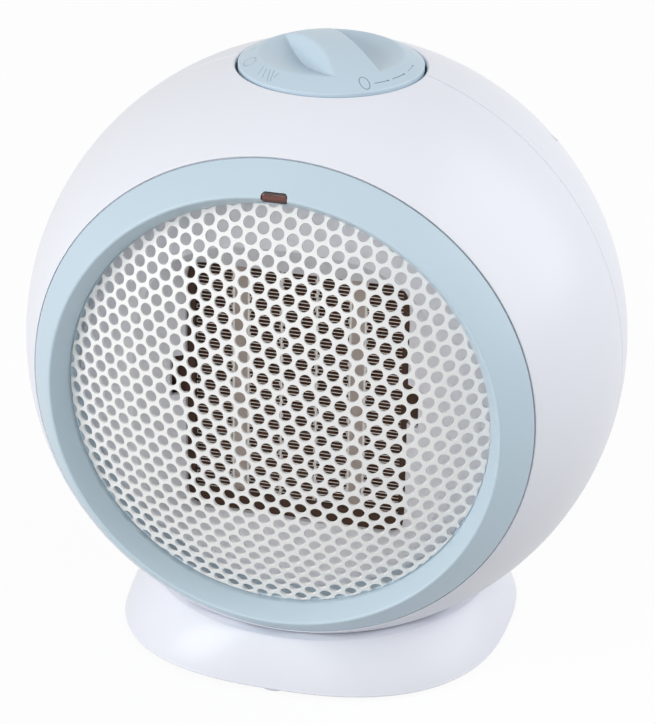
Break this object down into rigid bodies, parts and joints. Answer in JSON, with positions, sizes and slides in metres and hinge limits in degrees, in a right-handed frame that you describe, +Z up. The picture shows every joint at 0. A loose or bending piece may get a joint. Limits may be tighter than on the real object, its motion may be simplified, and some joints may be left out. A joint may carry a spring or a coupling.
{
  "type": "ceramic fan heater",
  "caption": "Ball-shaped ceramic fan heater on an oval base, with a pale ring round a perforated domed outlet, a domed control knob on top and an air inlet at the back.",
  "frame": {"origin": "on the floor plane under the middle of the heater's bounding box", "axes": "+Z up, -Y out of the air outlet, +X to the right of someone who looks at the outlet"},
  "size_m": [0.23, 0.2012, 0.2373],
  "materials": {
    "shell_white": "gloss",
    "ring_blue": "gloss",
    "grille_white": "satin",
    "lens_red": "gloss",
    "lamp_glass": "clear",
    "baffle_white": "matte",
    "frame_brown": "matte",
    "heater_ceramic": "matte",
    "heater_aluminium": "mill",
    "cutout_black": "matte",
    "duct_grey": "matte",
    "fan_black": "matte",
    "motor_steel": "plated",
    "bush_bronze": "sintered",
    "knob_blue": "gloss",
    "spindle_brass": "turned",
    "switch_black": "matte",
    "base_white": "gloss",
    "base_plate_grey": "matte",
    "foot_rubber": "matte",
    "screw_steel": "zinc plated",
    "gland_white": "matte"
  },
  "bodies": {
    "housing": {"front_shell": "shell_white", "rear_shell": "shell_white", "bezel_ring": "ring_blue", "front_grille": "grille_white", "indicator_lens": "lens_red", "indicator_lamp": "lamp_glass", "front_baffle": "baffle_white", "knob_well": "baffle_white", "heater_frame": "frame_brown", "ceramic_bars": "heater_ceramic", "electrode_plates": "heater_aluminium", "fin_dividers": "heater_aluminium", "heater_fins": "heater_aluminium", "thermal_cutout": "cutout_black", "fan_shroud": "duct_grey", "motor_can": "motor_steel", "motor_bracket": "motor_steel", "motor_bushes": "bush_bronze", "rotary_switch": "switch_black", "base_shell": "base_white", "base_plate": "base_plate_grey", "rubber_feet": "foot_rubber", "shell_screws": "screw_steel", "shroud_screws": "screw_steel", "base_screws": "screw_steel", "cable_gland": "gland_white"},
    "knob": {"control_knob": "knob_blue", "switch_spindle": "spindle_brass"},
    "fan": {"fan_impeller": "fan_black", "motor_shaft": "motor_steel"}
  },
  "joints": [
    {"name": "knob_turn", "type": "hinge", "parent": "housing", "child": "knob", "pos_m": [0, -0.01435, 0.228], "axis": [0, 0, -1], "range_deg": [0, 265]},
    {"name": "fan_spin", "type": "hinge", "parent": "housing", "child": "fan", "pos_m": [0, -0.01435, 0.118], "axis": [0, -1, 0], "continuous": true}
  ]
}
